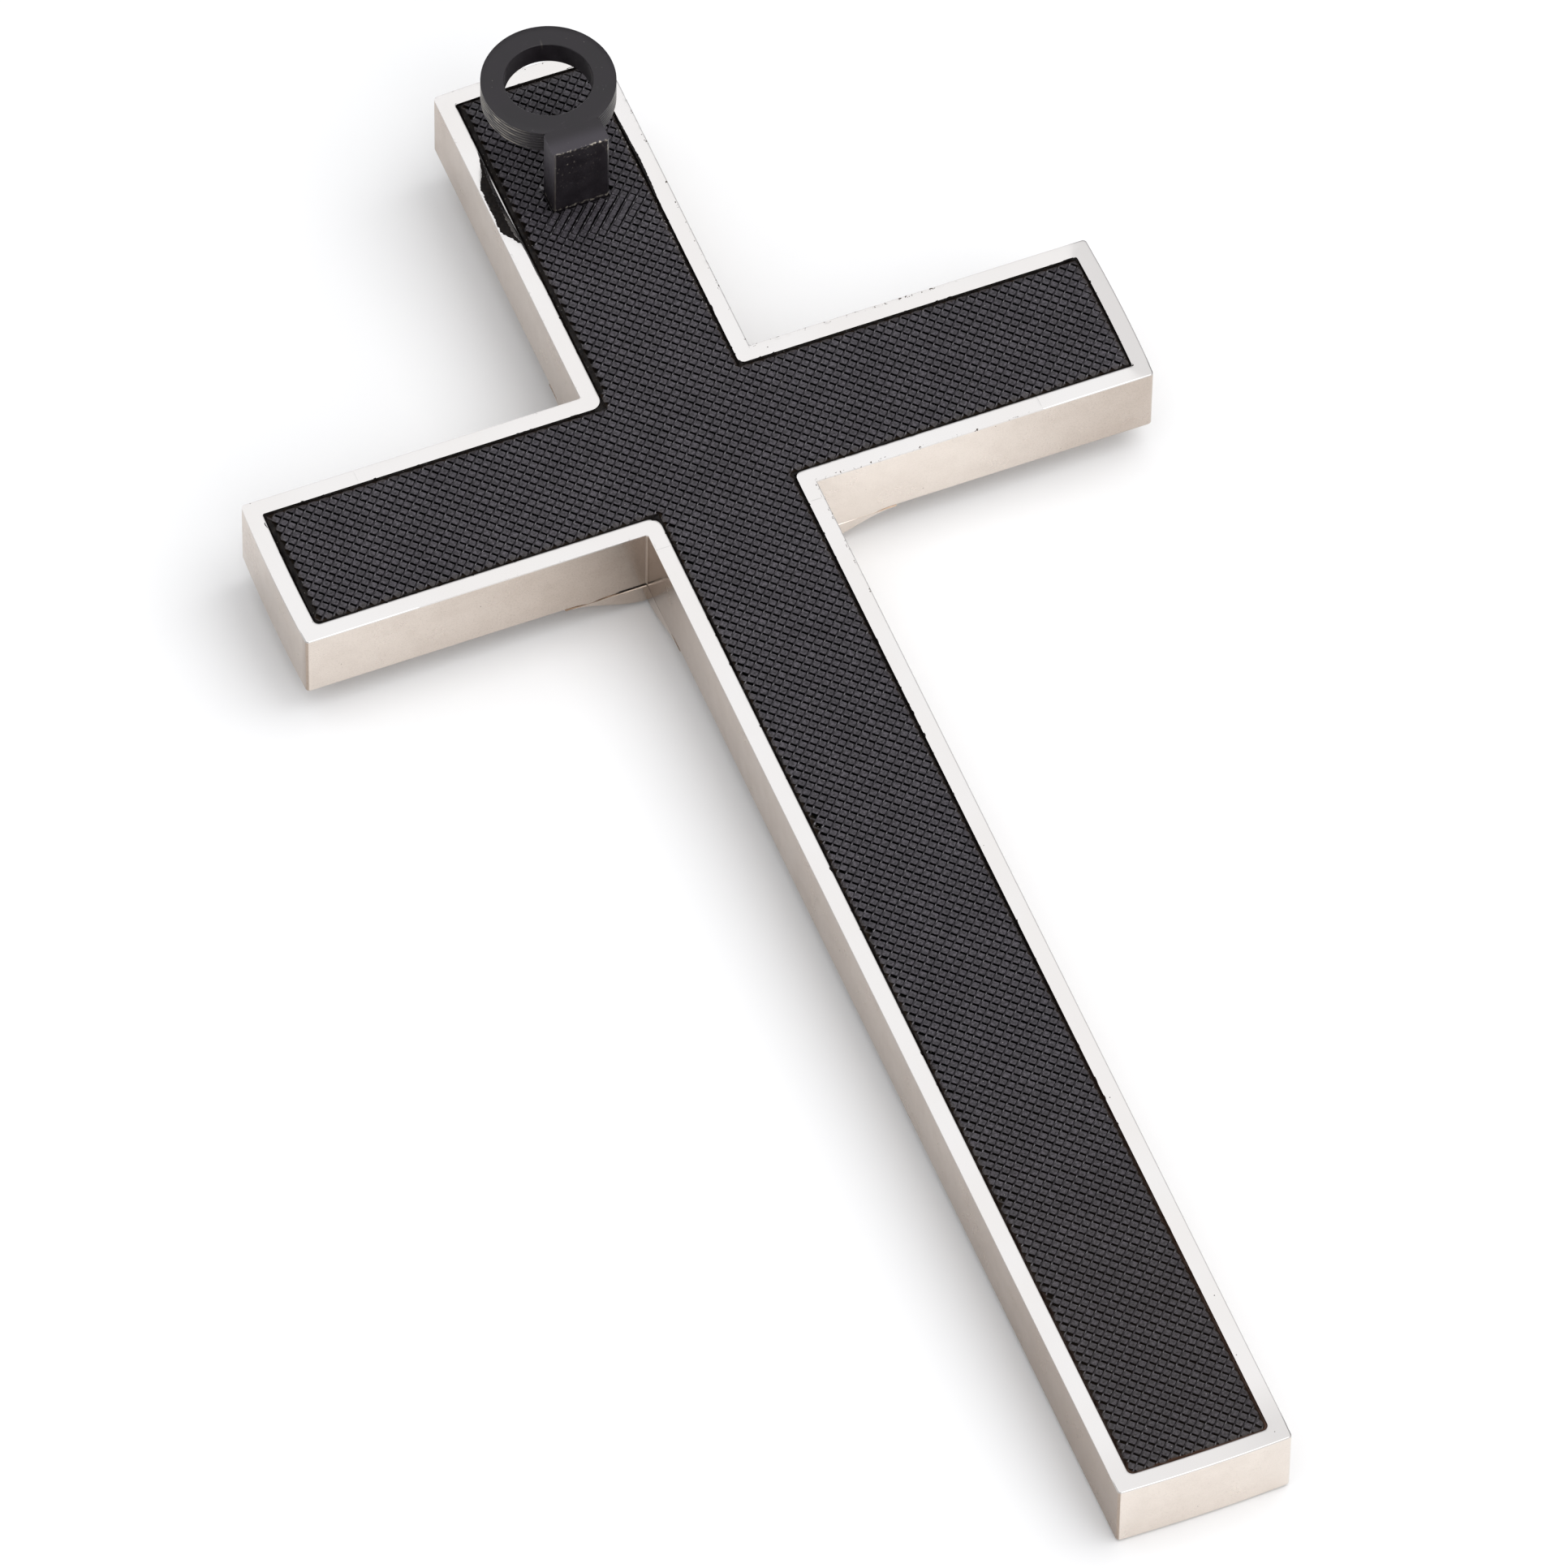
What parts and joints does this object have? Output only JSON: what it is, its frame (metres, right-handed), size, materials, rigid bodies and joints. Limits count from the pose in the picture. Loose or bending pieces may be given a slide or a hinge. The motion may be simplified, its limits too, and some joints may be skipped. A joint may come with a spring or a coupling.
{
  "type": "hanging wall cross",
  "caption": "Plain Latin cross with a polished metal edge band, black embossed rubber back and a rigid black ring on a post, for hanging on a peg.",
  "frame": {"origin": "bottom centre of the whole cross as it lies on its face: the boss's apex is at Z = 0", "axes": "+X across the arms, +Y up the shaft towards the hanging ring, +Z out of the back, along the ring's bore"},
  "size_m": [0.151, 0.3006, 0.0348],
  "materials": {
    "silver_plate": "mirror-polished silver plate, slightly warm",
    "blackened_metal": "satin black over turned metal, chipped on the edges",
    "embossed_rubber": "matt black, embossed with small square tiles",
    "black_cement": "glossy black contact cement",
    "filler_wood": "plain sawn",
    "steel": "zinc plated"
  },
  "bodies": {
    "root": {"band_upper": "silver_plate", "band_right": "silver_plate", "band_foot": "silver_plate", "band_left": "silver_plate", "front_plate": "silver_plate", "centre_boss": "silver_plate", "hanger_ring": "blackened_metal", "hanger_post": "blackened_metal", "back_panel": "embossed_rubber", "adhesive_bed": "black_cement", "core_upright": "filler_wood", "core_crossbar": "filler_wood", "anchor_plate": "steel", "plate_screws": "steel", "post_screws": "steel", "boss_screws": "steel"}
  },
  "joints": []
}
